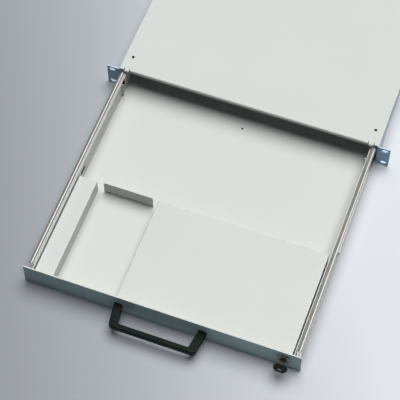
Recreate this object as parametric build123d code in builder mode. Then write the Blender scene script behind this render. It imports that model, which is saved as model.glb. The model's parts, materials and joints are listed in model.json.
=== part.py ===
from build123d import *
import os

os.makedirs("parts", exist_ok=True)

# A one-unit keyboard drawer for a 19 inch rack, modelled as it stands with its tray pulled out.
# X runs across the rack, +Y into the rack and +Z up. The origin is the centre of the four ear
# slots, on the front plane of the ears. All sizes are millimetres.

# Rack interface
ear_span = 482.6
ear_height = 43.6
ear_sheet = 2.0
slot_inset = 8.75
ear_reach = 19.8
slot_spacing_z = 31.75
slot_width = 6.8
slot_length = 10.3
ear_leg_depth = 42.0
ear_leg_height = 25.0
ear_leg_drop = 1.0
ear_rivet_inset = 16.0
ear_rivet_spacing = 11.0
ear_corner = 1.5

# Housing of bent sheet
housing_height = 43.0
housing_sheet = 1.2
housing_front = 2.5
housing_rear = 430.0
bend = 2.0
return_flange = 17.0
return_setback = 6.0
cover_skirt = 11.0
front_lip = 5.5
rear_wall_height = 14.0
tab_inset = 9.5
tab_width = 7.8
tab_forward = 2.1
tab_drop = 4.4
relief_width = 1.2
relief_length = 4.0
cover_screw_inset = 14.0
cover_screw_front = 30.5
cover_screw_rear_inset = 30.0

# Ball bearing slides
slide_height = 35.0
slide_thickness = 9.5
slide_length = 400.0
slide_setback = 10.5
slide_lift = 20.5
tray_travel = 387.5
member_sheet = 1.2
raceway_sheet = 0.85
ball_diameter = 2.8
ball_clearance = 0.05
race_gap = 2.2
outer_ball_x = 5.2
inner_ball_x = 6.2
flange_step = 0.6
cage_sheet = 0.5
cage_arm = 0.7
cage_length = 124.0
ball_end_margin = 12.0
balls_per_row = 2
cage_clearance = 0.35

# Tray
closed_gap = 0.5
tray_sheet = 1.2
tray_float = 0.4
tray_wall_height = 33.4
tray_rear = 25.0
front_upstand = 11.0
rear_upstand = 11.0
stop_tab_y = -20.0
stop_tab_reach = 3.0
window_length = 12.0
window_height = 15.0
window_edge = 2.0
lever_slot_y = -187.0
lever_slot_length = 16.0
lever_slot_height = 6.5
drain_hole = 3.6
drain_x = -1.0
drain_y = -15.0

# Front panel
panel_overhang = 0.5
panel_sheet = 2.0
panel_corner = 0.8
stud_diameter = 4.0
stud_length = 6.0
stud_lift = 8.2
stud_inset = 22.0
stud_pitch = 110.0
lock_stud_offset = 27.0
nut_flats = 7.0
nut_height = 3.2

# Platforms over the front of the tray
platform_sheet = 1.2
platform_height = 26.2
platform_rear = -203.0
platform_front_gap = 2.7
left_platform_width = 30.5
pocket_width = 102.9
right_side_gap = 2.9
wall_gap = 0.3
platform_bend = 1.6
foot_length = 14.0
foot_margin = 5.0

# Back stop of the mouse pocket
stop_side_gap = 10.0
stop_corner = 4.0
stop_foot = 13.0

# Handle
handle_root = 74.5
handle_shoulder = 68.5
handle_root_inner = 61.0
handle_shoulder_inner = 56.0
handle_reach = 39.0
grip_depth = 8.5
handle_height = 11.5
handle_lift = 13.5
handle_rounding = 2.2
handle_corner = 6.0
handle_inner_corner = 2.5
handle_screw_x = 67.5
handle_screw_diameter = 5.0
handle_screw_depth = 14.0
handle_screw_head = 9.0
handle_screw_head_height = 2.6

# Cam lock and key
lock_inset = 27.0
lock_lift = 25.0
lock_flange = 21.5
lock_flange_height = 3.6
lock_flange_rounding = 1.8
lock_barrel = 15.6
lock_bore = 11.0
lock_nut_flats = 20.0
lock_nut_height = 2.4
cam_length = 16.0
cam_width = 7.0
cam_sheet = 1.6
cam_gap = 0.4
cam_clearance = 4.5
cam_square = 6.0
cam_hub = 12.0
cam_screw_diameter = 3.0
cam_screw_head = 6.0
cam_screw_head_height = 1.6
plug_proud = 0.6
keyway_width = 8.0
keyway_height = 2.4
key_sheet = 1.9
key_inside = 8.0
key_neck = 7.0
key_head_width = 21.0
key_head_length = 11.5
key_head_sheet = 4.2
key_head_corner = 4.0
key_root = 3.0
key_ring_hole = 3.4
key_clearance = 0.1
running = 0.05

# Fasteners and buffers
rivet_diameter = 3.2
rivet_head = 6.0
rivet_head_height = 0.9
base_rivet_inset = 60.0
tray_rivet_inset = 60.0
tray_rivet_offset = 40.0
screw_diameter = 3.4
screw_head = 4.6
screw_head_height = 0.6
screw_shank = 4.6
buffer_diameter = 9.0
buffer_inset = 69.0
buffer_gap = 0.3

# Levels and planes worked out from the driving sizes
base_bottom = -ear_height / 2
housing_top = base_bottom + housing_height
base_top = housing_top - housing_sheet
slot_x = ear_span / 2 - slot_inset
cover_half = ear_span / 2 - ear_reach
panel_half = cover_half + panel_overhang
wall_outer = cover_half - housing_sheet
wall_inner = wall_outer - housing_sheet
tray_outer = wall_inner - slide_thickness
tray_inner = tray_outer - tray_sheet
tray_bottom = base_bottom + housing_sheet + tray_float
floor_top = tray_bottom + tray_sheet
tray_wall_top = tray_bottom + tray_wall_height
panel_rear = -(tray_travel + closed_gap)
panel_front = panel_rear - panel_sheet
platform_top = floor_top + platform_height
left_platform_outer = tray_inner - rivet_head_height - wall_gap
left_platform_inner = left_platform_width - left_platform_outer
right_platform_inner = left_platform_inner + pocket_width
right_platform_outer = tray_inner - right_side_gap
platform_front = panel_rear + platform_front_gap
slide_z = base_bottom + slide_lift
slide_half = slide_height / 2
leg_middle = slide_z - ear_leg_drop
lock_x = panel_half - lock_inset
lock_z = base_bottom + lock_lift
cam_front = housing_front + housing_sheet + cam_gap - tray_travel
barrel_rear = cam_front - running
cam_rear = cam_front + cam_sheet
flange_front = panel_front - lock_flange_height
plug_front = flange_front - plug_proud
handle_bottom = base_bottom + handle_lift
handle_middle = handle_bottom + handle_height / 2
buffer_z = floor_top + rear_upstand / 2
rivet_hole = rivet_diameter + 2 * running
screw_hole = screw_diameter + 2 * running


def across(y):
    """Sketch plane that faces the user, with X to the right and Z up, at depth y."""
    return Plane(origin=(0, y, 0), x_dir=(1, 0, 0), z_dir=(0, -1, 0))


def save(piece, name):
    piece.part.label = name
    export_step(piece.part, f"parts/{name}.step")


def cut_box(x_span, y_span, z_span):
    """Cut the block between three pairs of limits out of the part being built."""
    centre = (sum(x_span) / 2, sum(y_span) / 2, sum(z_span) / 2)
    size = (x_span[1] - x_span[0], y_span[1] - y_span[0], z_span[1] - z_span[0])
    with Locations(centre):
        Box(*size, mode=Mode.SUBTRACT)


def add_box(x_span, y_span, z_span):
    """Add the block between three pairs of limits to the part being built."""
    centre = (sum(x_span) / 2, sum(y_span) / 2, sum(z_span) / 2)
    size = (x_span[1] - x_span[0], y_span[1] - y_span[0], z_span[1] - z_span[0])
    with Locations(centre):
        Box(*size)


def bent_sheet(points, sheet, side, radius):
    """Section of a sheet folded at the inner points, with its outer face through all of them."""
    with BuildSketch() as section:
        with BuildLine():
            FilletPolyline(*points, radius=radius)
            offset(amount=sheet, side=side)
        make_face()
    return section.sketch


def discs(plane, spots, diameter):
    """Circles of one diameter at the given spots of a plane."""
    with BuildSketch(plane) as pattern:
        with Locations(*spots):
            Circle(diameter / 2)
    return pattern.sketch


def pierce(plane, spots, diameter, depth):
    """Round holes in the part being built, from a plane along its normal."""
    extrude(discs(plane, spots, diameter), amount=depth, dir=plane.z_dir, mode=Mode.SUBTRACT)


def pegs(plane, spots, diameter, length):
    """Round pegs on the part being built, from a plane along its normal."""
    extrude(discs(plane, spots, diameter), amount=length, dir=plane.z_dir)


def side_rivets(spots, shank_from, shank_to, head_from):
    """Rivets through stacked side sheets at the right, and their mirror images at the left."""
    pegs(Plane.YZ.offset(shank_from), spots, rivet_diameter, shank_to - shank_from)
    pegs(Plane.YZ.offset(head_from), spots, rivet_head, rivet_head_height)
    mirror(about=Plane.YZ)


# Places of the fasteners
base_rivet_spots = [
    (slide_setback + base_rivet_inset, slide_z),
    (slide_setback + slide_length - base_rivet_inset, slide_z),
]
ear_rivet_y = ear_leg_depth - ear_rivet_inset
ear_rivet_spots = [
    (ear_rivet_y, leg_middle - ear_rivet_spacing / 2),
    (ear_rivet_y, leg_middle + ear_rivet_spacing / 2),
]
cover_screw_x = cover_half - cover_screw_inset
cover_screw_rear = housing_rear - cover_screw_rear_inset
cover_screw_spots = [
    (-cover_screw_x, cover_screw_front),
    (cover_screw_x, cover_screw_front),
    (-cover_screw_x, cover_screw_rear),
    (cover_screw_x, cover_screw_rear),
]
buffer_x = wall_inner - buffer_inset
buffer_spots = [(-buffer_x, buffer_z), (buffer_x, buffer_z)]
stud_spots = (
    (left_platform_inner - left_platform_outer) / 2,
    right_platform_inner + stud_inset,
    right_platform_inner + stud_inset + stud_pitch,
    lock_x - lock_stud_offset,
)
stud_places = [(x, base_bottom + stud_lift) for x in stud_spots]
handle_screw_spots = [(-handle_screw_x, handle_middle), (handle_screw_x, handle_middle)]

# Housing base, a channel with its top edges returned inwards
return_edge = wall_outer - return_flange
base_path = [
    (-return_edge, base_top),
    (-wall_outer, base_top),
    (-wall_outer, base_bottom),
    (wall_outer, base_bottom),
    (wall_outer, base_top),
    (return_edge, base_top),
]
with BuildPart() as housing_base:
    with BuildSketch(across(housing_front)):
        add(bent_sheet(base_path, housing_sheet, Side.LEFT, bend))
    extrude(amount=housing_front - housing_rear)
    for side in (-1, 1):
        cut_box(
            sorted((side * (return_edge - 1), side * (wall_inner - bend))),
            (housing_front - 1, housing_front + return_setback),
            (base_top - housing_sheet - 0.5, base_top + 0.5),
        )
    add_box(
        (-wall_inner, wall_inner),
        (housing_rear - housing_sheet, housing_rear),
        (base_bottom + housing_sheet / 2, base_bottom + rear_wall_height),
    )
    wall_holes = base_rivet_spots + ear_rivet_spots
    pierce(Plane.YZ.offset(-wall_outer - 1), wall_holes, rivet_hole, 2 * wall_outer + 2)
    pierce(Plane.XY.offset(base_top - 2 * housing_sheet), cover_screw_spots, screw_hole, 3 * housing_sheet)
    pierce(across(housing_rear + 1), buffer_spots, rivet_hole, housing_sheet + 2)
save(housing_base, "housing_base")

# Cover, a flat pan turned down at the sides, with a folded front lip between two small tabs
cover_path = [
    (-cover_half, housing_top - cover_skirt),
    (-cover_half, housing_top),
    (cover_half, housing_top),
    (cover_half, housing_top - cover_skirt),
]
tab_outer = cover_half - tab_inset
tab_inner = tab_outer - tab_width
fold_start = housing_front + relief_length


def folded_edge(front, drop):
    """Section, seen from the side, of a cover edge that is bent down at front."""
    path = [(fold_start, housing_top), (front, housing_top), (front, housing_top - drop)]
    return bent_sheet(path, housing_sheet, Side.LEFT, bend)


with BuildPart() as housing_cover:
    with BuildSketch(across(housing_front)):
        add(bent_sheet(cover_path, housing_sheet, Side.RIGHT, bend))
    extrude(amount=housing_front - housing_rear)
    cut_box(
        (-tab_outer - relief_width, tab_outer + relief_width),
        (housing_front - 1, fold_start),
        (base_top - 1, housing_top + 1),
    )
    with BuildSketch(Plane.YZ.offset(-tab_inner + relief_width)):
        add(folded_edge(housing_front, front_lip))
    extrude(amount=2 * (tab_inner - relief_width))
    for tab_start in (-tab_outer, tab_inner):
        with BuildSketch(Plane.YZ.offset(tab_start)):
            add(folded_edge(housing_front - tab_forward, tab_drop))
        extrude(amount=tab_width)
    pierce(Plane.XY.offset(base_top - 1), cover_screw_spots, screw_hole, housing_sheet + 2)
save(housing_cover, "housing_cover")

# Cover screws with low heads
with BuildPart() as cover_screws:
    pegs(Plane.XY.offset(housing_top - screw_shank), cover_screw_spots, screw_diameter, screw_shank)
    pegs(Plane.XY.offset(housing_top), cover_screw_spots, screw_head, screw_head_height)
save(cover_screws, "cover_screws")

# Rack ears, angles riveted to the housing walls below the cover's skirts
ear_path = [(ear_span / 2, 0), (wall_outer, 0), (wall_outer, ear_leg_depth)]
leg_bottom = leg_middle - ear_leg_height / 2
leg_top = leg_middle + ear_leg_height / 2
leg_x = (wall_outer - 1, wall_outer + ear_sheet + 1)
leg_y = (ear_sheet + 0.3, ear_leg_depth + 1)
with BuildPart() as rack_ear_right:
    with BuildSketch(Plane.XY.offset(base_bottom)):
        add(bent_sheet(ear_path, ear_sheet, Side.RIGHT, ear_sheet + 0.6))
    extrude(amount=ear_height)
    cut_box(leg_x, leg_y, (leg_top, ear_height))
    cut_box(leg_x, leg_y, (base_bottom - 1, leg_bottom))
    fillet(edges().filter_by(Axis.Y).group_by(Axis.X)[-1], ear_corner)
    with BuildSketch(across(-1)):
        with Locations((slot_x, 0)):
            with GridLocations(0, slot_spacing_z, 1, 2):
                SlotOverall(slot_length, slot_width)
    extrude(amount=-(ear_sheet + 2), mode=Mode.SUBTRACT)
    pierce(Plane.YZ.offset(wall_outer - 1), ear_rivet_spots, rivet_hole, ear_sheet + 2)
save(rack_ear_right, "rack_ear_right")

with BuildPart() as rack_ear_left:
    mirror(rack_ear_right.part, about=Plane.YZ)
save(rack_ear_left, "rack_ear_left")

with BuildPart() as ear_rivets:
    side_rivets(ear_rivet_spots, wall_inner, wall_outer + ear_sheet, wall_outer + ear_sheet)
save(ear_rivets, "ear_rivets")

# Slide sections at the right-hand side, with u counted from the tray wall outwards.
# The tray's member is the widest, the middle one runs inside it and the housing's inside that.
race_radius = ball_diameter / 2 + ball_clearance
flange_outer = slide_half - flange_step
outer_ball_z = slide_half - raceway_sheet - race_radius
middle_outer = outer_ball_z - race_gap / 2
middle_inner = middle_outer - member_sheet
inner_ball_z = middle_inner - race_gap / 2
housing_member_half = inner_ball_z - race_gap / 2
tray_member_reach = slide_thickness - member_sheet
middle_reach = tray_member_reach - cage_clearance
cage_start = member_sheet + cage_clearance
middle_start = cage_start + cage_sheet + cage_clearance
inner_cage_start = middle_start + member_sheet + cage_clearance
housing_member_start = inner_cage_start + cage_sheet + cage_clearance
tray_member_front = slide_setback - tray_travel
middle_member_front = slide_setback - tray_travel / 2
tray_rivet_spots = [
    (tray_member_front + tray_rivet_inset, slide_z),
    (tray_member_front + slide_length / 2 - tray_rivet_offset, slide_z),
    (tray_member_front + slide_length - tray_rivet_inset, slide_z),
]


def channel(start, reach, half, side):
    """C section whose web stands at start and whose legs end at reach."""
    path = [
        (tray_outer + reach, slide_z + half),
        (tray_outer + start, slide_z + half),
        (tray_outer + start, slide_z - half),
        (tray_outer + reach, slide_z - half),
    ]
    return bent_sheet(path, member_sheet, side, member_sheet + 0.4)


def race_spots(u, height):
    """Upper and lower ball centre of one pair of rows."""
    return [(tray_outer + u, slide_z + height), (tray_outer + u, slide_z - height)]


outer_races = race_spots(outer_ball_x, outer_ball_z)
inner_races = race_spots(inner_ball_x, inner_ball_z)

with BuildPart() as slide_tray_member_right:
    with BuildSketch(across(tray_member_front)):
        add(channel(0, tray_member_reach, flange_outer, Side.LEFT))
        with BuildSketch(mode=Mode.PRIVATE) as ridge:
            with Locations(*outer_races):
                Circle(race_radius + raceway_sheet)
            with Locations((tray_outer + outer_ball_x, slide_z)):
                Rectangle(slide_thickness, 2 * (flange_outer - member_sheet / 2), mode=Mode.SUBTRACT)
        add(ridge.sketch)
        with Locations(*outer_races):
            Circle(race_radius, mode=Mode.SUBTRACT)
    extrude(amount=-slide_length)
    pierce(Plane.YZ.offset(tray_outer - 1), tray_rivet_spots, rivet_hole, member_sheet + 2)
save(slide_tray_member_right, "slide_tray_member_right")

with BuildPart() as slide_middle_member_right:
    with BuildSketch(across(middle_member_front)):
        add(channel(middle_start, middle_reach, middle_outer, Side.LEFT))
        with Locations(*outer_races, *inner_races):
            Circle(race_radius, mode=Mode.SUBTRACT)
    extrude(amount=-slide_length)
save(slide_middle_member_right, "slide_middle_member_right")

with BuildPart() as slide_housing_member_right:
    with BuildSketch(across(slide_setback)):
        add(channel(slide_thickness, housing_member_start, housing_member_half, Side.RIGHT))
        with Locations(*inner_races):
            Circle(race_radius, mode=Mode.SUBTRACT)
    extrude(amount=-slide_length)
    pierce(Plane.YZ.offset(wall_inner - 2 * member_sheet), base_rivet_spots, rivet_hole, 3 * member_sheet)
save(slide_housing_member_right, "slide_housing_member_right")

# Ball cages, each halfway between the two members that its balls carry
closed_centre = slide_setback + slide_length / 2
outer_cage_y = closed_centre - 0.75 * tray_travel
inner_cage_y = closed_centre - 0.25 * tray_travel
cage_margin = 0.7
outer_cage_reach = outer_ball_x + race_radius + cage_margin
inner_cage_reach = inner_ball_x + race_radius + cage_margin / 2


def ball_spots(centre_y, u):
    """Plan positions of one row of balls."""
    row = cage_length - 2 * ball_end_margin
    pitch = row / (balls_per_row - 1)
    return [(tray_outer + u, centre_y - row / 2 + pitch * i) for i in range(balls_per_row)]


def cage_section(start, reach, height):
    """Thin web that joins an upper and a lower arm, each with a row of balls."""
    with BuildSketch() as section:
        with Locations((tray_outer + start + cage_sheet / 2, slide_z)):
            Rectangle(cage_sheet, 2 * height)
        for level in (height, -height):
            with Locations((tray_outer + (start + reach) / 2, slide_z + level)):
                Rectangle(reach - start, cage_arm)
    return section.sketch


def cage_holes(centre_y, u):
    """Holes round the balls, through both arms of a cage."""
    spots = ball_spots(centre_y, u)
    pierce(Plane.XY.offset(slide_z - slide_half), spots, 2 * (race_radius + ball_clearance), slide_height)


def ball_rows(centre_y, u, height):
    """Two rows of balls, one above and one below the middle of the slide."""
    for x, y in ball_spots(centre_y, u):
        with Locations((x, y, slide_z + height), (x, y, slide_z - height)):
            Sphere(ball_diameter / 2)


with BuildPart() as outer_ball_cage_right:
    with BuildSketch(across(outer_cage_y - cage_length / 2)):
        add(cage_section(cage_start, outer_cage_reach, outer_ball_z))
    extrude(amount=-cage_length)
    cage_holes(outer_cage_y, outer_ball_x)
save(outer_ball_cage_right, "outer_ball_cage_right")

with BuildPart() as inner_ball_cage_right:
    with BuildSketch(across(inner_cage_y - cage_length / 2)):
        add(cage_section(inner_cage_start, inner_cage_reach, inner_ball_z))
    extrude(amount=-cage_length)
    cage_holes(inner_cage_y, inner_ball_x)
save(inner_ball_cage_right, "inner_ball_cage_right")

with BuildPart() as outer_balls_right:
    ball_rows(outer_cage_y, outer_ball_x, outer_ball_z)
save(outer_balls_right, "outer_balls_right")

with BuildPart() as inner_balls_right:
    ball_rows(inner_cage_y, inner_ball_x, inner_ball_z)
save(inner_balls_right, "inner_balls_right")

right_hand_pieces = {
    "slide_tray_member": slide_tray_member_right,
    "slide_middle_member": slide_middle_member_right,
    "slide_housing_member": slide_housing_member_right,
    "outer_ball_cage": outer_ball_cage_right,
    "inner_ball_cage": inner_ball_cage_right,
    "outer_balls": outer_balls_right,
    "inner_balls": inner_balls_right,
}
for name, right_piece in right_hand_pieces.items():
    with BuildPart() as left_piece:
        mirror(right_piece.part, about=Plane.YZ)
    save(left_piece, f"{name}_left")

# Rivets that hold the outermost slide members, with heads where nothing slides past
with BuildPart() as slide_housing_rivets:
    side_rivets(base_rivet_spots, wall_inner - member_sheet, wall_outer, wall_outer)
save(slide_housing_rivets, "slide_housing_rivets")

with BuildPart() as slide_tray_rivets:
    side_rivets(tray_rivet_spots, tray_inner, tray_outer + member_sheet, tray_inner - rivet_head_height)
save(slide_tray_rivets, "slide_tray_rivets")

# Rubber buffers that the tray meets when it is pushed home
buffer_front = tray_rear + tray_travel + buffer_gap
rear_wall_face = housing_rear - housing_sheet
with BuildPart() as rear_buffers:
    pegs(across(rear_wall_face), buffer_spots, buffer_diameter, rear_wall_face - buffer_front)
    pegs(across(housing_rear), buffer_spots, rivet_diameter, housing_sheet)
save(rear_buffers, "rear_buffers")

# Tray pan, with a window in each side wall from which a keyboard stop is bent in
tray_path = [
    (-tray_outer, tray_wall_top),
    (-tray_outer, tray_bottom),
    (tray_outer, tray_bottom),
    (tray_outer, tray_wall_top),
]
window_top = tray_wall_top - window_edge
with BuildPart() as tray_pan:
    with BuildSketch(across(panel_rear)):
        add(bent_sheet(tray_path, tray_sheet, Side.LEFT, bend))
    extrude(amount=panel_rear - tray_rear)
    add_box(
        (-tray_inner, tray_inner),
        (panel_rear, panel_rear + tray_sheet),
        (tray_bottom + tray_sheet / 2, floor_top + front_upstand),
    )
    add_box(
        (-tray_inner, tray_inner),
        (tray_rear - tray_sheet, tray_rear),
        (tray_bottom + tray_sheet / 2, floor_top + rear_upstand),
    )
    for side in (-1, 1):
        wall_x = sorted((side * (tray_inner - 0.5), side * (tray_outer + 0.5)))
        cut_box(
            wall_x,
            (stop_tab_y, stop_tab_y + window_length),
            (window_top - window_height, window_top),
        )
        cut_box(
            wall_x,
            (lever_slot_y - lever_slot_length / 2, lever_slot_y + lever_slot_length / 2),
            (slide_z - lever_slot_height / 2, slide_z + lever_slot_height / 2),
        )
        add_box(
            sorted((side * (tray_inner - stop_tab_reach), side * (tray_inner + tray_sheet / 2))),
            (stop_tab_y - tray_sheet, stop_tab_y),
            (floor_top + tray_sheet, window_top),
        )
    pierce(Plane.YZ.offset(-tray_outer - 1), tray_rivet_spots, rivet_hole, 2 * tray_outer + 2)
    pierce(Plane.XY.offset(tray_bottom - 1), [(drain_x, drain_y)], drain_hole, tray_sheet + 2)
    pierce(across(panel_rear + tray_sheet + 1), stud_places, stud_diameter + 2 * running, tray_sheet + 2)
save(tray_pan, "tray_pan")

# Front panel with welded studs at its back
with BuildPart() as front_panel:
    with BuildSketch(across(panel_front)):
        RectangleRounded(2 * panel_half, ear_height, panel_corner)
        with Locations((lock_x, lock_z)):
            Circle(lock_barrel / 2 + running, mode=Mode.SUBTRACT)
        with Locations(*handle_screw_spots):
            Circle(handle_screw_diameter / 2 + running, mode=Mode.SUBTRACT)
    extrude(amount=-panel_sheet)
    pegs(across(panel_rear + stud_length), stud_places, stud_diameter, stud_length)
save(front_panel, "front_panel")

with BuildPart() as panel_nuts:
    with BuildSketch(across(panel_rear + tray_sheet)):
        with Locations(*stud_places):
            RegularPolygon(nut_flats / 2, 6, major_radius=False)
        with Locations(*stud_places):
            Circle(stud_diameter / 2 + running, mode=Mode.SUBTRACT)
    extrude(amount=-nut_height)
save(panel_nuts, "panel_nuts")


def platform(x_left, x_right):
    """Folded sheet top over the front of the tray, open towards the panel, with a welding foot at the back."""
    with Locations(((x_left + x_right) / 2, (platform_front + platform_rear) / 2, floor_top)):
        Box(
            x_right - x_left,
            platform_rear - platform_front,
            platform_height,
            align=(Align.CENTER, Align.CENTER, Align.MIN),
        )
    upright_edges = edges().filter_by(Axis.Z).group_by(Axis.Y)[-1]
    top_edges = faces().sort_by(Axis.Z)[-1].edges().sort_by(Axis.Y)[1:]
    fillet(upright_edges + top_edges, platform_bend)
    open_faces = [faces().sort_by(Axis.Z)[0], faces().sort_by(Axis.Y)[0]]
    offset(amount=-platform_sheet, openings=open_faces)
    add_box(
        (x_left + foot_margin, x_right - foot_margin),
        (platform_rear - foot_length, platform_rear - platform_sheet / 2),
        (floor_top, floor_top + platform_sheet),
    )


with BuildPart() as left_platform:
    platform(-left_platform_outer, left_platform_inner)
save(left_platform, "left_platform")

with BuildPart() as right_platform:
    platform(right_platform_inner, right_platform_outer)
    cut_box(
        (lock_x - cam_length - cam_clearance, right_platform_outer + 1),
        (platform_front - 1, cam_rear + cam_screw_head_height + wall_gap),
        (lock_z - lock_nut_flats, platform_top + 1),
    )
save(right_platform, "right_platform")

# Upright stop at the back of the mouse pocket, with the foot behind it welded to the floor
stop_path = [
    (platform_rear, platform_top),
    (platform_rear, floor_top),
    (platform_rear + stop_foot, floor_top),
]
with BuildPart() as pocket_stop:
    with BuildSketch(Plane.YZ.offset(left_platform_inner + stop_side_gap)):
        add(bent_sheet(stop_path, tray_sheet, Side.LEFT, platform_bend))
    extrude(amount=pocket_width - 2 * stop_side_gap)
    fillet(edges().filter_by(Axis.Y).group_by(Axis.Z)[-1], stop_corner)
save(pocket_stop, "pocket_stop")

# Bow handle, tapering from its feet to the grip
handle_front = panel_front - handle_reach
with BuildPart() as handle:
    with BuildSketch(Plane.XY.offset(handle_bottom)):
        with BuildLine():
            Polyline(
                (-handle_root, panel_front),
                (-handle_shoulder, handle_front),
                (handle_shoulder, handle_front),
                (handle_root, panel_front),
                (handle_root_inner, panel_front),
                (handle_shoulder_inner, handle_front + grip_depth),
                (-handle_shoulder_inner, handle_front + grip_depth),
                (-handle_root_inner, panel_front),
                close=True,
            )
        make_face()
        fillet(vertices().group_by(Axis.Y)[0], handle_corner)
        fillet(vertices().group_by(Axis.Y)[1], handle_inner_corner)
    extrude(amount=handle_height)
    rounded = faces().filter_by(Axis.Z).edges().filter_by(lambda e: e.center().Y < panel_front - 0.1)
    fillet(rounded, handle_rounding)
    bore = handle_screw_diameter + 2 * running
    pierce(across(panel_front + 1), handle_screw_spots, bore, handle_screw_depth + 1.5)
save(handle, "handle")

with BuildPart() as handle_screws:
    pegs(across(panel_rear), handle_screw_spots, handle_screw_diameter, panel_sheet + handle_screw_depth)
    head_rear = panel_rear + handle_screw_head_height
    pegs(across(head_rear), handle_screw_spots, handle_screw_head, handle_screw_head_height)
save(handle_screws, "handle_screws")

# Cam lock in the panel
lock_spot = [(lock_x, lock_z)]
with BuildPart() as lock_body:
    pegs(across(panel_front), lock_spot, lock_flange, lock_flange_height)
    chamfer(edges().group_by(Axis.Y)[0], lock_flange_rounding)
    pegs(across(barrel_rear), lock_spot, lock_barrel, barrel_rear - panel_front)
    pierce(across(barrel_rear + 1), lock_spot, lock_bore, barrel_rear - flange_front + 2)
save(lock_body, "lock_body")

with BuildPart() as lock_nut:
    with BuildSketch(across(panel_rear)):
        with Locations(*lock_spot):
            RegularPolygon(lock_nut_flats / 2, 6, major_radius=False)
            Circle(lock_barrel / 2 + running, mode=Mode.SUBTRACT)
    extrude(amount=-lock_nut_height)
save(lock_nut, "lock_nut")

with BuildPart() as lock_plug:
    pegs(across(cam_front), lock_spot, lock_bore - 2 * running, cam_front - plug_front)
    with BuildSketch(across(cam_front)):
        with Locations(*lock_spot):
            Rectangle(cam_square, cam_square)
    extrude(amount=-cam_sheet)
    with BuildSketch(across(plug_front - 1)):
        with Locations(*lock_spot):
            Rectangle(keyway_width, keyway_height)
    extrude(amount=-(key_inside + 1.5), mode=Mode.SUBTRACT)
    pierce(across(cam_rear + 1), lock_spot, cam_screw_diameter + 2 * running, cam_sheet + 2)
save(lock_plug, "lock_plug")

# Cam, pointing sideways while the lock is open
with BuildPart() as lock_cam:
    with BuildSketch(across(cam_front)):
        with Locations((lock_x - cam_length / 2, lock_z)):
            Rectangle(cam_length, cam_width)
        with Locations(*lock_spot):
            Circle(cam_hub / 2)
        fillet(vertices().group_by(Axis.X)[0], cam_width / 2 - 0.5)
        with Locations(*lock_spot):
            Rectangle(cam_square + 2 * running, cam_square + 2 * running, mode=Mode.SUBTRACT)
    extrude(amount=-cam_sheet)
save(lock_cam, "lock_cam")

with BuildPart() as cam_screw:
    pegs(across(cam_rear), lock_spot, cam_screw_diameter, cam_sheet)
    pegs(across(cam_rear + cam_screw_head_height), lock_spot, cam_screw_head, cam_screw_head_height)
save(cam_screw, "cam_screw")

# Key, pushed into the plug
key_tip = plug_front + key_inside
key_head_rear = plug_front - key_neck
with BuildPart() as key_blade:
    with BuildSketch(across(key_tip)):
        with Locations(*lock_spot):
            Rectangle(keyway_width - 2 * key_clearance, key_sheet)
    extrude(amount=key_tip - key_head_rear + key_root)
save(key_blade, "key_blade")

with BuildPart() as key_head:
    with BuildSketch(Plane.XY.offset(lock_z - key_head_sheet / 2)):
        with Locations((lock_x, key_head_rear - key_head_length / 2)):
            Rectangle(key_head_width, key_head_length)
            chamfer(vertices(), key_head_corner)
        ring_hole_y = key_head_rear - key_head_length + key_ring_hole
        with Locations((lock_x, ring_hole_y)):
            SlotOverall(2 * key_ring_hole, key_ring_hole, mode=Mode.SUBTRACT)
    extrude(amount=key_head_sheet)
    with BuildSketch(across(key_head_rear + 1)):
        with Locations(*lock_spot):
            Rectangle(keyway_width - 2 * key_clearance, key_sheet)
    extrude(amount=key_root + 1, mode=Mode.SUBTRACT)
save(key_head, "key_head")
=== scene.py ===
import bpy
import bmesh
import json
import math
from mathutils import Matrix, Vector

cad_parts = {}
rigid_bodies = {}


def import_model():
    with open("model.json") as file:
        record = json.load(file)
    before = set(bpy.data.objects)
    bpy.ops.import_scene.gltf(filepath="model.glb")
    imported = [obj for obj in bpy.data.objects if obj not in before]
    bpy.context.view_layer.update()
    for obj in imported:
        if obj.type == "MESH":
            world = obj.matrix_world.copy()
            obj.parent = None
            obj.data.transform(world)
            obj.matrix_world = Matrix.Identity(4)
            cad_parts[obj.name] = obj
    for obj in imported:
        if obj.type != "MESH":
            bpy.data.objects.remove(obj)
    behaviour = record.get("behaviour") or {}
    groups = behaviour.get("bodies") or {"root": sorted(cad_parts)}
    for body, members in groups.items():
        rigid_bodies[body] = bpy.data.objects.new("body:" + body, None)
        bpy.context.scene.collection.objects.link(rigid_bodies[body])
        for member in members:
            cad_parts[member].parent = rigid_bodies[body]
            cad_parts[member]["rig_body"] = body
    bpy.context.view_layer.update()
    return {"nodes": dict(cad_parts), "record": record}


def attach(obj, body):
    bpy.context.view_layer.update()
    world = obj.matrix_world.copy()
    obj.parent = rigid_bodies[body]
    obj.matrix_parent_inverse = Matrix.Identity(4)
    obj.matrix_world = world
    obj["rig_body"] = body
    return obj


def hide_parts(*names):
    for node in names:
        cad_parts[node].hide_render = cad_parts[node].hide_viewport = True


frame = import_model()
nodes = frame["nodes"]
print("stage: frame loaded,", len(nodes), "nodes")


# A shader socket that can be added, subtracted and multiplied
class Sock:
    def __init__(self, graph, socket):
        self.graph = graph
        self.socket = socket

    def maths(self, operation, other):
        return self.graph.add("ShaderNodeMath", {"operation": operation}, {0: self, 1: other})

    def __add__(self, other):
        return self.maths("ADD", other)

    def __sub__(self, other):
        return self.maths("SUBTRACT", other)

    def __mul__(self, other):
        return self.maths("MULTIPLY", other)


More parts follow.
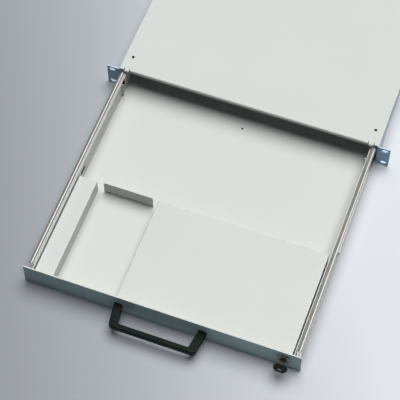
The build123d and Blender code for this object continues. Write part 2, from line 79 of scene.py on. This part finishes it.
# A node tree with short ways to add a node and to link or set its inputs
class Graph:
    def __init__(self, tree):
        self.tree = tree

    def put(self, node, key, value):
        if isinstance(value, Sock):
            self.tree.links.new(value.socket, node.inputs[key])
        else:
            node.inputs[key].default_value = value

    def add(self, kind, settings, values, output=0):
        node = self.tree.nodes.new(kind)
        for key, value in settings.items():
            setattr(node, key, value)
        for key, value in values.items():
            self.put(node, key, value)
        return Sock(self, node.outputs[output])

    def ramp(self, factor, stops):
        ramp = self.add("ShaderNodeValToRGB", {}, {"Fac": factor}, "Color")
        elements = ramp.socket.node.color_ramp.elements
        while len(elements) < len(stops):
            elements.new(0.5)
        for element, (position, colour) in zip(elements, stops):
            element.position = position
            element.color = (*colour, 1)
        return ramp


# One material with its shader and the textures that feed it, in the object's own coordinates
class Finish(Graph):
    def __init__(self, name):
        self.material = bpy.data.materials.new(name)
        self.material.use_nodes = True
        super().__init__(self.material.node_tree)
        self.shader = self.tree.nodes["Principled BSDF"]
        self.place = self.add("ShaderNodeTexCoord", {}, {}, "Object")

    def feed(self, **values):
        for key, value in values.items():
            self.put(self.shader, key.replace("_", " "), value)

    def noise(self, scale, detail, place=None):
        values = {"Vector": place or self.place, "Scale": scale, "Detail": detail}
        return self.add("ShaderNodeTexNoise", {}, values, "Fac")

    # A mix node's colours are its inputs 6 and 7 and its output 2
    def between(self, factor, low, high):
        ends = [end if isinstance(end, Sock) else (*end, 1) for end in (low, high)]
        values = {"Factor": factor, 6: ends[0], 7: ends[1]}
        return self.add("ShaderNodeMix", {"data_type": "RGBA"}, values, 2)

    def bump(self, height, strength, depth):
        values = {"Height": height, "Strength": strength, "Distance": depth}
        return self.add("ShaderNodeBump", {}, values, "Normal")


# A base value that noises push up and down, each by its own share
def varied(base, noises, shares):
    pushes = [(noise - 0.5) * share for noise, share in zip(noises, shares)]
    return sum(pushes[1:], pushes[0]) + base


# In these looks a noise is (scale, detail), bump is (strength, depth), and tint and rough are the noises' shares
paintLook = {
    "cloud": (9, 3),
    "speck": (620, 2),
    "peel": (1400, 2),
    "shade": 0.94,
    "tint": (0.9, 0.35),
    "rough": (0.12, 0.08),
    "roughness": 0.47,
    "bump": (0.16, 0.00008),
    "ior": 1.5,
}


def paintFinish(name, colour):
    finish = Finish(name)
    noises = [finish.noise(*paintLook["cloud"]), finish.noise(*paintLook["speck"])]
    peel = finish.noise(*paintLook["peel"])
    shaded = tuple(channel * paintLook["shade"] for channel in colour)
    finish.feed(
        Base_Color=finish.between(varied(0.5, noises, paintLook["tint"]), shaded, colour),
        Roughness=varied(paintLook["roughness"], noises, paintLook["rough"]),
        Normal=finish.bump(peel, *paintLook["bump"]),
        IOR=paintLook["ior"],
    )
    return finish.material


steelLook = {
    "zinc": (0.80, 0.79, 0.76),
    "dullZinc": (0.68, 0.67, 0.64),
    "drawnAlong": (220, 9, 220),
    "even": (300, 300, 300),
    "drawn": (1, 3),
    "patch": (60, 3),
    "tint": (0.6, 0.9),
    "rough": (0.1, 0.12),
    "roughness": 0.30,
    "bump": (0.05, 0.00002),
}


def steelFinish(name, colour, dull, stretch):
    finish = Finish(name)
    values = {"Vector": finish.place, "Scale": stretch}
    drawn = finish.noise(*steelLook["drawn"], finish.add("ShaderNodeMapping", {}, values, "Vector"))
    noises = [drawn, finish.noise(*steelLook["patch"])]
    finish.feed(
        Base_Color=finish.between(varied(0.5, noises, steelLook["tint"]), dull, colour),
        Roughness=varied(steelLook["roughness"], noises, steelLook["rough"]),
        Normal=finish.bump(drawn, *steelLook["bump"]),
        Metallic=1.0,
    )
    return finish.material


def zincFinish(name, stretch):
    return steelFinish(name, steelLook["zinc"], steelLook["dullZinc"], stretch)


chromeLook = {"smear": (420, 3), "rough": (0.1,), "roughness": 0.1}


def chromeFinish(name, colour):
    finish = Finish(name)
    noises = [finish.noise(*chromeLook["smear"])]
    finish.feed(
        Base_Color=(*colour, 1),
        Roughness=varied(chromeLook["roughness"], noises, chromeLook["rough"]),
        Metallic=1.0,
    )
    return finish.material


plasticLook = {
    "cloud": (30, 2),
    "pits": (2200, 2),
    "lift": 1.5,
    "least": 0.004,
    "tint": (0.8, 0.4),
    "rough": (0.1, 0.18),
    "bump": (0.3, 0.00006),
}


def plasticFinish(name, colour, roughness, shine):
    finish = Finish(name)
    pits = finish.noise(*plasticLook["pits"])
    noises = [finish.noise(*plasticLook["cloud"]), pits]
    lifted = tuple(channel * plasticLook["lift"] + plasticLook["least"] for channel in colour)
    finish.feed(
        Base_Color=finish.between(varied(0.5, noises, plasticLook["tint"]), colour, lifted),
        Roughness=varied(roughness, noises, plasticLook["rough"]),
        Normal=finish.bump(pits, *plasticLook["bump"]),
        Specular_IOR_Level=shine,
    )
    return finish.material


# The material of each slot in the record
finishes = {
    "light_grey_paint": paintFinish("bodyPaint", (0.56, 0.574, 0.549)),
    "ear_paint": paintFinish("earPaint", (0.435, 0.565, 0.70)),
    "black_screw": plasticFinish("blackOxide", (0.004, 0.004, 0.004), 0.5, 0.1),
    "zinc_fastener": zincFinish("zincFastener", steelLook["even"]),
    "zinc_plated_steel": zincFinish("slideSteel", steelLook["drawnAlong"]),
    "cage_plastic": plasticFinish("cagePlastic", (0.04, 0.04, 0.045), 0.5, 0.5),
    "bearing_steel": chromeFinish("bearingSteel", (0.72, 0.70, 0.67)),
    "black_rubber": plasticFinish("bufferRubber", (0.006, 0.006, 0.006), 0.85, 0.06),
    "handle_plastic": plasticFinish("handlePlastic", (0.005, 0.008, 0.006), 0.42, 0.14),
    "lock_chrome": chromeFinish("lockChrome", (0.24, 0.22, 0.19)),
    "key_metal": steelFinish("keyMetal", (0.26, 0.23, 0.20), (0.18, 0.16, 0.14), steelLook["even"]),
    "key_plastic": plasticFinish("keyPlastic", (0.003, 0.004, 0.003), 0.45, 0.1),
}
slotOf = {part["node"]: part["material_slot"] for part in frame["record"]["subparts"]}
for node, source in nodes.items():
    source.data.materials.clear()
    source.data.materials.append(finishes[slotOf[node]])
print("stage: finishes made")

# How meshes are welded, which edges count as sharp, and how they are rounded
edgeLook = {
    "weld": 0.000004,
    "turnedWeld": 0.000002,
    "flat": math.radians(1.5),
    "sharp": math.radians(32),
    "smooth": math.radians(40),
    "segments": 2,
    "profile": 0.5,
    "normalWeight": 100,
}


def weldedCopy(node):
    shape = bmesh.new()
    shape.from_mesh(nodes[node].data)
    bmesh.ops.remove_doubles(shape, verts=shape.verts, dist=edgeLook["weld"])
    return shape


def roundEdges(shape, edges, width):
    bmesh.ops.bevel(shape, geom=edges, offset=width, offset_type="OFFSET", segments=edgeLook["segments"],
                    affect="EDGES", profile=edgeLook["profile"], material=-1, clamp_overlap=True)


def makeObject(name, shape):
    mesh = bpy.data.meshes.new(name)
    shape.to_mesh(mesh)
    shape.free()
    piece = bpy.data.objects.new(name, mesh)
    bpy.context.scene.collection.objects.link(piece)
    return piece


# A visible piece: its mesh, finish and smoothing, the body it rides on and the CAD nodes it replaces
def addPiece(name, shape, slot, body, replaced=()):
    piece = makeObject(name, shape)
    piece.data.materials.append(finishes[slot])
    piece.data.shade_smooth()
    piece.data.set_sharp_from_angle(angle=edgeLook["smooth"])
    level = piece.modifiers.new("level", "WEIGHTED_NORMAL")
    level.keep_sharp = True
    level.weight = edgeLook["normalWeight"]
    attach(piece, body)
    if replaced:
        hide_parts(*replaced)


# New pieces have all their faces turned outward first
def addNewPiece(name, shape, slot, body, replaced=()):
    bmesh.ops.recalc_face_normals(shape, faces=shape.faces)
    addPiece(name, shape, slot, body, replaced)


# A welded copy of the node's mesh, with flat faces merged and sharp edges rounded
def dress(node, width):
    shape = weldedCopy(node)
    bmesh.ops.dissolve_limit(shape, angle_limit=edgeLook["flat"], verts=shape.verts, edges=shape.edges)
    if width:
        sharp = [edge for edge in shape.edges
                 if len(edge.link_faces) == 2 and edge.calc_face_angle(0) > edgeLook["sharp"]]
        roundEdges(shape, sharp, width)
    addPiece(node + "_skin", shape, slotOf[node], nodes[node]["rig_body"], [node])


# The width of the rounded edges on each dressed node, in metres
edgeWidths = {
    "housing_base": 0.0002,
    "housing_cover": 0.0003,
    "rack_ear_left": 0.0003,
    "rack_ear_right": 0.0003,
    "tray_pan": 0.0002,
    "front_panel": 0.0003,
    "left_platform": 0.0003,
    "right_platform": 0.0003,
    "pocket_stop": 0.0003,
    "handle": 0.0003,
    "slide_tray_member_left": 0.0001,
    "slide_tray_member_right": 0.0001,
    "slide_middle_member_left": 0.0001,
    "slide_middle_member_right": 0.0001,
    "slide_housing_member_left": 0.0001,
    "slide_housing_member_right": 0.0001,
    "lock_plug": 0.0002,
    "lock_cam": 0.0002,
    "key_blade": 0.0001,
    "key_head": 0.0008,
    "inner_ball_cage_left": 0.0001,
    "inner_ball_cage_right": 0.0001,
    "outer_ball_cage_left": 0.0001,
    "outer_ball_cage_right": 0.0001,
    "inner_balls_left": 0,
    "inner_balls_right": 0,
    "outer_balls_left": 0,
    "outer_balls_right": 0,
    "panel_nuts": 0.0003,
    "lock_nut": 0.0004,
    "handle_screws": 0.0004,
    "cam_screw": 0.0003,
    "rear_buffers": 0.0003,
}
for node, width in edgeWidths.items():
    dress(node, width)
print("stage: nodes dressed with rounded edges")


# All the vertices that edges join to this one
def joined(vert):
    found = {vert}
    reached = [vert]
    while reached:
        for edge in reached.pop().link_edges:
            other = [end for end in edge.verts if end not in found]
            found.update(other)
            reached += other
    return found


# The separate lumps of a node's mesh, each by its lowest and highest corner
def lumpsOf(node):
    shape = weldedCopy(node)
    seen = set()
    lumps = []
    for vert in shape.verts:
        if vert not in seen:
            lump = joined(vert)
            seen |= lump
            spans = [sorted(point.co[axis] for point in lump) for axis in range(3)]
            lumps.append([Vector([span[end] for span in spans]) for end in (0, -1)])
    shape.free()
    return lumps


# A quarter arch of (radius, height) pairs, from the foot outside to the top inside
def dome(inner, outer, foot, top, steps):
    turns = [step / steps * math.pi / 2 for step in range(steps + 1)]
    return [(inner + (outer - inner) * math.cos(turn), foot + (top - foot) * math.sin(turn)) for turn in turns]


# Round pieces are turned about +Z from (radius, height) pairs, then laid along their own axis
def turned(shape, outline, axis, start, steps):
    before = set(shape.verts)
    first = [shape.verts.new((radius, 0, height)) for radius, height in outline]
    line = [shape.edges.new(pair) for pair in zip(first, first[1:])]
    bmesh.ops.spin(shape, geom=first + line, cent=(0, 0, 0), axis=(0, 0, 1), angle=math.tau,
                   steps=steps, use_merge=True)
    made = [vert for vert in shape.verts if vert not in before]
    bmesh.ops.remove_doubles(shape, verts=made, dist=edgeLook["turnedWeld"])
    made = [vert for vert in made if vert.is_valid]
    turn = Vector((0, 0, 1)).rotation_difference(Vector(axis)).to_matrix()
    bmesh.ops.rotate(shape, verts=made, cent=(0, 0, 0), matrix=turn)
    bmesh.ops.translate(shape, verts=made, vec=start)


# Domed rivets: a plain shank, then a head with a round crown
rivetLook = {"head": 0.0009, "shank": 0.0016, "crown": 6, "steps": 32}


def domedRivets(name, node, headOutward):
    shape = bmesh.new()
    for low, high in lumpsOf(node):
        length = high.x - low.x
        neck = length - rivetLook["head"]
        crown = dome(0, (high.z - low.z) / 2, neck, length, rivetLook["crown"])
        crown[-1] = (0, length)
        outline = [(0, 0), (rivetLook["shank"], 0), (rivetLook["shank"], neck)] + crown
        middle = (low + high) / 2
        side = math.copysign(1, middle.x) * headOutward
        start = (low.x if side > 0 else high.x, middle.y, middle.z)
        turned(shape, outline, (side, 0, 0), start, rivetLook["steps"])
    addNewPiece(name, shape, slotOf[node], nodes[node]["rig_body"], [node])


domedRivets("ear_rivets_domed", "ear_rivets", 1)
domedRivets("slide_tray_rivets_domed", "slide_tray_rivets", -1)
domedRivets("slide_housing_rivets_domed", "slide_housing_rivets", 1)
print("stage: rivets domed")


def closedLoop(shape, points):
    ring = [shape.verts.new(point) for point in points]
    return [shape.edges.new((ring[i - 1], ring[i])) for i in range(len(ring))]


def circle(middle, reach, height, sides):
    turns = [i / sides * math.tau for i in range(sides)]
    return [(middle.x + reach * math.cos(turn), middle.y + reach * math.sin(turn), height) for turn in turns]


# The twelve corners of a cross with four equal arms
def crossCorners(middle, long, thin, height):
    corners = []
    for quarter in range(4):
        ahead = Vector((math.cos(quarter * math.pi / 2), math.sin(quarter * math.pi / 2)))
        side = Vector((-ahead.y, ahead.x))
        corners += [ahead * long - side * thin, ahead * long + side * thin, ahead * thin + side * thin]
    return [(middle.x + corner.x, middle.y + corner.y, height) for corner in corners]


# Walls go straight down from a closed loop to a flat bottom
def sink(shape, loop, depth):
    wall = bmesh.ops.extrude_edge_only(shape, edges=loop)["geom"]
    foot = [piece for piece in wall if isinstance(piece, bmesh.types.BMVert)]
    bmesh.ops.translate(shape, verts=foot, vec=(0, 0, -depth))
    rim = [piece for piece in wall
           if isinstance(piece, bmesh.types.BMEdge) and all(vert in foot for vert in piece.verts)]
    bmesh.ops.contextual_create(shape, geom=rim)


# Cover screws, each with a narrow bevel round its head and a cross recess pressed into it
screwLook = {"sides": 36, "edge": 0.00018, "arm": 0.62, "slit": 0.17, "depth": 0.00035}


def crossScrews(name, node):
    shape = bmesh.new()
    edge, sides = screwLook["edge"], screwLook["sides"]
    for low, high in lumpsOf(node):
        radius = (high.x - low.x) / 2
        middle = (low + high) / 2
        long, thin = radius * screwLook["arm"], radius * screwLook["slit"]
        cross = closedLoop(shape, crossCorners(middle, long, thin, high.z))
        inner = closedLoop(shape, circle(middle, radius - edge, high.z, sides))
        outer = closedLoop(shape, circle(middle, radius, high.z - edge, sides))
        bmesh.ops.bridge_loops(shape, edges=cross + inner)
        bmesh.ops.bridge_loops(shape, edges=inner + outer)
        sink(shape, outer, high.z - low.z - edge)
        sink(shape, cross, screwLook["depth"])
    addNewPiece(name, shape, slotOf[node], nodes[node]["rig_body"], [node])


crossScrews("cover_screws_crossed", "cover_screws")
print("stage: cover screws made")


# The lock's body: a domed rosette with a ring groove round the plug, and its barrel
lockLook = {
    "flange": 0.01075,
    "barrel": 0.0078,
    "bore": 0.0055,
    "rise": 0.0036,
    "rim": 0.0007,
    "groove": 0.0006,
    "sunk": 0.0004,
    "crown": 9,
    "steps": 56,
}


def makeLock():
    low, high = lumpsOf("lock_body")[0]
    deep = high.y - low.y
    foot = deep - lockLook["rise"]
    flange, barrel, bore = lockLook["flange"], lockLook["barrel"], lockLook["bore"]
    outline = [(bore, 0), (barrel, 0), (barrel, foot), (flange, foot)]
    outline += dome(bore + lockLook["groove"], flange, foot + lockLook["rim"], deep, lockLook["crown"])
    outline += [(bore, deep - lockLook["sunk"]), (bore, 0)]
    middle = (low + high) / 2
    shape = bmesh.new()
    turned(shape, outline, (0, -1, 0), (middle.x, high.y, middle.z), lockLook["steps"])
    addNewPiece("lock_rosette", shape, "lock_chrome", nodes["lock_body"]["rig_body"], ["lock_body"])


makeLock()


# Small plain blocks, each between two corners
def makeBlock(name, low, high, edge, slot, body):
    shape = bmesh.new()
    bmesh.ops.create_cube(shape, size=1)
    bmesh.ops.scale(shape, vec=[b - a for a, b in zip(low, high)], verts=shape.verts)
    roundEdges(shape, shape.edges[:], edge)
    bmesh.ops.translate(shape, vec=[(a + b) / 2 for a, b in zip(low, high)], verts=shape.verts)
    addNewPiece(name, shape, slot, body)


# Black pads in the openings of the tray's side walls: the slides' release levers, and black pads in the windows
# that are painted shade for the dark seen through them
padSheet = {"outer": 0.2096, "inner": 0.2084, "edge": 0.0002}
leverPad = {"rear": -0.1792, "front": -0.1948, "low": -0.0044, "high": 0.0018}
windowShadePad = {"rear": -0.0081, "front": -0.0199, "low": -0.0037, "high": 0.0111}


def makePad(name, side, pad):
    left, right = sorted((side * padSheet["inner"], side * padSheet["outer"]))
    makeBlock(name, (left, pad["front"], pad["low"]), (right, pad["rear"], pad["high"]),
              padSheet["edge"], "black_rubber", "tray")


makePad("release_lever_left", -1, leverPad)
makePad("release_lever_right", 1, leverPad)
# The window pads are painted shade: black sheets where the openings only look dark
makePad("window_painted_shade_left", -1, windowShadePad)
makePad("window_painted_shade_right", 1, windowShadePad)

# A narrow lip closes the rear of the platform's notch, behind the cam and above its screw
notchLip = {"low": (0.1745, -0.3816, 0.0064), "high": (0.2055, -0.37985, 0.0072), "edge": 0.00008}
makeBlock("notch_lip", notchLip["low"], notchLip["high"], notchLip["edge"], "light_grey_paint", "tray")

# A black disc in the small hole of the tray's floor is painted shade, for the dark seen through the hole
holeShadeLook = {
    "centre": (-0.001, -0.015),
    "low": -0.0202,
    "high": -0.019,
    "radius": 0.00175,
    "edge": 0.0003,
    "steps": 28,
}


def makeHoleShade():
    thick = holeShadeLook["high"] - holeShadeLook["low"]
    radius, edge = holeShadeLook["radius"], holeShadeLook["edge"]
    outline = [(0, 0), (radius - edge, 0), (radius, edge)]
    outline += [(radius, thick - edge), (radius - edge, thick), (0, thick)]
    shape = bmesh.new()
    turned(shape, outline, (0, 0, 1), (*holeShadeLook["centre"], holeShadeLook["low"]), holeShadeLook["steps"])
    addNewPiece("floor_hole_shade", shape, "black_rubber", "tray")


makeHoleShade()
print("stage: lock, levers, linings and plug made")


# The floor is a wide sheet of paper whose colour is painted paler to the right and to the back: painted light
# for the backdrop's uneven lighting
floorLook = {
    "level": -0.0221,
    "half": 30.0,
    "lean": 0.55,
    "spread": 0.8,
    "stops": [
        (0.0, (0.205, 0.215, 0.235)),
        (0.28, (0.345, 0.361, 0.385)),
        (0.62, (0.60, 0.616, 0.648)),
        (1.0, (0.645, 0.66, 0.69)),
    ],
    "bounce": (0.67, 0.82, 0.86, 1),
    "glow": 1.1,
    "glowShare": 0.04,
    "roughness": 0.9,
    "shine": 0.1,
}


def makeFloor():
    shape = bmesh.new()
    bmesh.ops.create_grid(shape, x_segments=1, y_segments=1, size=floorLook["half"])
    bmesh.ops.translate(shape, vec=(0, 0, floorLook["level"]), verts=shape.verts)
    floor = makeObject("studioFloor", shape)
    finish = Finish("floorPaper")
    across, back = [finish.add("ShaderNodeSeparateXYZ", {}, {"Vector": finish.place}, axis) for axis in "XY"]
    # The ramp paints light onto the floor, paler to the right and to the back
    paintedLightTone = finish.ramp((across + back * floorLook["lean"]) * floorLook["spread"] + 0.5, floorLook["stops"])
    # The camera sees the full painted-light tone with a little glow, and the part gets a dimmer, bluer bounce
    # from it
    seen = finish.add("ShaderNodeLightPath", {}, {}, "Is Camera Ray")
    values = {"Fac": 1.0, "Color1": paintedLightTone, "Color2": floorLook["bounce"]}
    bounce = finish.add("ShaderNodeMixRGB", {"blend_type": "MULTIPLY"}, values, "Color")
    finish.feed(
        Base_Color=finish.between(seen, bounce, paintedLightTone),
        Roughness=floorLook["roughness"],
        Specular_IOR_Level=floorLook["shine"],
    )
    glow = finish.add("ShaderNodeEmission", {}, {"Color": paintedLightTone, "Strength": floorLook["glow"]}, "Emission")
    paper = Sock(finish, finish.shader.outputs[0])
    mix = finish.add("ShaderNodeMixShader", {}, {0: seen * floorLook["glowShare"], 1: paper, 2: glow})
    finish.put(finish.tree.nodes["Material Output"], "Surface", mix)
    floor.data.materials.append(finish.material)


# The broad lamp shades the sheets, and the dimmer one is only mirrored by steel and plastic
lampLook = {
    "sun": {"from": (0.04, 0.33, 0.93), "strength": 4.18, "degrees": 54, "mirrored": False},
    "sheen": {"from": (0.42, 0.34, 0.84), "strength": 0.95, "degrees": 46, "mirrored": True},
}


def makeLamp(name, look):
    data = bpy.data.lights.new(name + "Sun", "SUN")
    data.energy = look["strength"]
    data.angle = math.radians(look["degrees"])
    lamp = bpy.data.objects.new(name + "Sun", data)
    lamp.rotation_euler = (-Vector(look["from"])).to_track_quat("-Z", "Y").to_euler()
    lamp.visible_glossy = look["mirrored"]
    lamp.visible_diffuse = not look["mirrored"]
    bpy.context.scene.collection.objects.link(lamp)


# Matt surfaces are lit by a faint sky, while steel and plastic mirror a grey room that is paler at the left
roomLook = {
    "sky": (0.50, 0.85, 1.0),
    "skyStrength": 0.05,
    "stops": [
        (0.0, (0.44, 0.42, 0.40)),
        (0.2, (0.38, 0.36, 0.345)),
        (0.35, (0.13, 0.128, 0.12)),
        (1.0, (0.12, 0.118, 0.112)),
    ],
}


def makeWorld():
    world = bpy.data.worlds.new("studioSky")
    world.use_nodes = True
    graph = Graph(world.node_tree)
    sky = graph.tree.nodes["Background"]
    graph.put(sky, "Color", (*roomLook["sky"], 1))
    graph.put(sky, "Strength", roomLook["skyStrength"])
    aim = graph.add("ShaderNodeTexCoord", {}, {}, "Generated")
    across = graph.add("ShaderNodeSeparateXYZ", {}, {"Vector": aim}, "X")
    room = graph.add("ShaderNodeBackground", {}, {"Color": graph.ramp(across * 0.5 + 0.5, roomLook["stops"])})
    mirrored = graph.add("ShaderNodeLightPath", {}, {}, "Is Glossy Ray")
    mix = graph.add("ShaderNodeMixShader", {}, {0: mirrored, 1: Sock(graph, sky.outputs[0]), 2: room})
    graph.put(graph.tree.nodes["World Output"], "Surface", mix)
    bpy.context.scene.world = world


# The camera stands where the photo's camera stood; angles are in radians
cameraLook = {
    "place": (0.40744, -1.32625, 2.06599),
    "yaw": -0.352006,
    "pitch": 1.035429,
    "focalPixels": 1533.09,
    "framePixels": 400,
    "sensor": 36.0,
    "farClip": 200,
}


def makeCamera():
    data = bpy.data.cameras.new("photoView")
    data.sensor_width = cameraLook["sensor"]
    data.lens = cameraLook["focalPixels"] / cameraLook["framePixels"] * cameraLook["sensor"]
    data.clip_end = cameraLook["farClip"]
    camera = bpy.data.objects.new("photoView", data)
    yaw, pitch = cameraLook["yaw"], cameraLook["pitch"]
    ahead = Vector((math.sin(yaw) * math.cos(pitch), math.cos(yaw) * math.cos(pitch), -math.sin(pitch)))
    camera.location = cameraLook["place"]
    camera.rotation_euler = ahead.to_track_quat("-Z", "Y").to_euler()
    bpy.context.scene.collection.objects.link(camera)
    bpy.context.scene.camera = camera


makeFloor()
makeWorld()
for name, look in lampLook.items():
    makeLamp(name, look)
makeCamera()
bpy.context.scene.view_settings.view_transform = "Standard"
print("stage: studio made")
